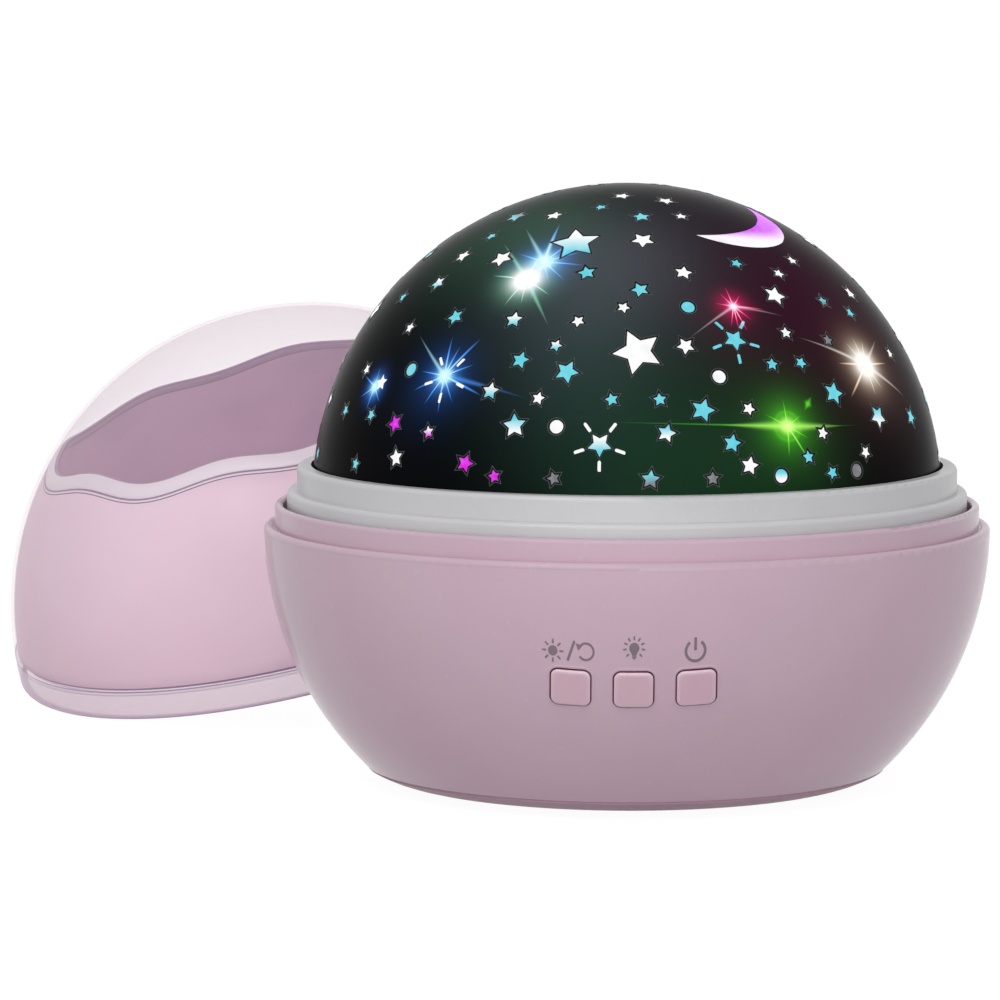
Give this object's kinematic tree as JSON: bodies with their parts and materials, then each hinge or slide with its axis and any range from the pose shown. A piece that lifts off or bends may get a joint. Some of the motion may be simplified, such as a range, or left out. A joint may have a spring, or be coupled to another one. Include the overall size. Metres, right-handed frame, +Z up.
{
  "type": "star night light projector",
  "caption": "Bowl-shaped table lamp with a motor-turned dark dome pierced by star and moon windows, push buttons, and a loose hemispherical cover lying tilted beside it.",
  "frame": {"origin": "on the table plane, under the turning axis of the projector unit", "axes": "+Z up along the turning axis; -Y towards the buttons; the loose cover lies towards -X and +Y"},
  "size_m": [0.1869, 0.2393, 0.1074],
  "materials": {
    "pink_shell": "satin moulded",
    "pink_button": "satin moulded",
    "grey_ring": "satin moulded",
    "inner_white": "matte moulded",
    "nylon_gear": "natural nylon",
    "black_part": "matte moulded",
    "dark_mask": "gloss moulded",
    "clear_dome": "clear moulded plastic",
    "clear_cover": "clear moulded plastic",
    "pink_liner": "translucent moulded plastic",
    "foot_rubber": "matte",
    "steel": "plated",
    "cell_jacket": "printed jacket, no print",
    "board": "solder mask",
    "white_board": "white solder mask",
    "led_warm": "clear epoxy",
    "led_red": "clear epoxy",
    "led_green": "clear epoxy",
    "led_blue": "clear epoxy",
    "capacitor": "shrink sleeve",
    "wire_pale": "insulation",
    "wire_red": "insulation",
    "wire_black": "insulation"
  },
  "bodies": {
    "base": {"base_shell": "pink_shell", "bottom_cover": "pink_shell", "foot_1": "foot_rubber", "foot_2": "foot_rubber", "foot_3": "foot_rubber", "foot_4": "foot_rubber", "battery_cell_1": "cell_jacket", "battery_cell_2": "cell_jacket", "battery_cell_3": "cell_jacket", "battery_cell_4": "cell_jacket", "contact_springs": "steel", "contact_plates": "steel", "case_screws": "steel", "deck_plate": "inner_white", "deck_screws": "steel", "turntable_clips": "inner_white", "clip_screws": "steel", "led_post": "inner_white", "post_screws": "steel", "led_board": "white_board", "led_warm": "led_warm", "led_red": "led_red", "led_green": "led_green", "led_blue": "led_blue", "main_board": "board", "control_chip": "black_part", "capacitor": "capacitor", "lead_sockets": "inner_white", "board_screws": "steel", "switch_board": "board", "push_switch_1": "black_part", "push_switch_2": "black_part", "push_switch_3": "black_part", "usb_shell": "steel", "usb_tongue": "black_part", "gearbox": "inner_white", "motor_can": "steel", "motor_screws": "steel", "led_lead": "wire_pale", "motor_leads": "wire_red", "battery_leads": "wire_black"},
    "turntable": {"turntable_ring": "grey_ring", "dome_screws": "steel", "projection_dome": "clear_dome", "star_mask": "dark_mask"},
    "drive_pinion": {"output_shaft": "steel", "pinion": "nylon_gear"},
    "turn_button": {"button_turn": "pink_button", "plunger_1": "nylon_gear"},
    "light_button": {"button_light": "pink_button", "plunger_2": "nylon_gear"},
    "power_button": {"button_power": "pink_button", "plunger_3": "nylon_gear"},
    "door": {"battery_door": "pink_shell", "door_screws": "steel"},
    "cover": {"cover_shell": "clear_cover", "cover_liner": "pink_liner"}
  },
  "joints": [
    {"name": "turntable_spin", "type": "hinge", "parent": "base", "child": "turntable", "pos_m": [0, 0, 0.05], "axis": [0, 0, 1], "continuous": true},
    {"name": "pinion_spin", "type": "hinge", "parent": "base", "child": "drive_pinion", "pos_m": [-0.0408, 0, 0.049], "axis": [0, 0, 1], "continuous": true},
    {"name": "turn_button_press", "type": "slide", "parent": "base", "child": "turn_button", "axis": [0, 0.9336, 0.3584], "range_m": [0, 0.0008], "stiffness_N_per_m": 600, "springref_m": -0.0008},
    {"name": "light_button_press", "type": "slide", "parent": "base", "child": "light_button", "axis": [0, 0.9336, 0.3584], "range_m": [0, 0.0008], "stiffness_N_per_m": 600, "springref_m": -0.0008},
    {"name": "power_button_press", "type": "slide", "parent": "base", "child": "power_button", "axis": [0, 0.9336, 0.3584], "range_m": [0, 0.0008], "stiffness_N_per_m": 600, "springref_m": -0.0008},
    {"name": "door_drop", "type": "slide", "parent": "base", "child": "door", "axis": [0, 0, -1], "range_m": [0, 0.02]},
    {"name": "cover_lift", "type": "slide", "parent": "base", "child": "cover", "axis": [0, 0, 1], "range_m": [0, 0.13]}
  ],
  "couplings": [
    {"joint": "pinion_spin", "follows": "turntable_spin", "ratio": 6.6667}
  ]
}
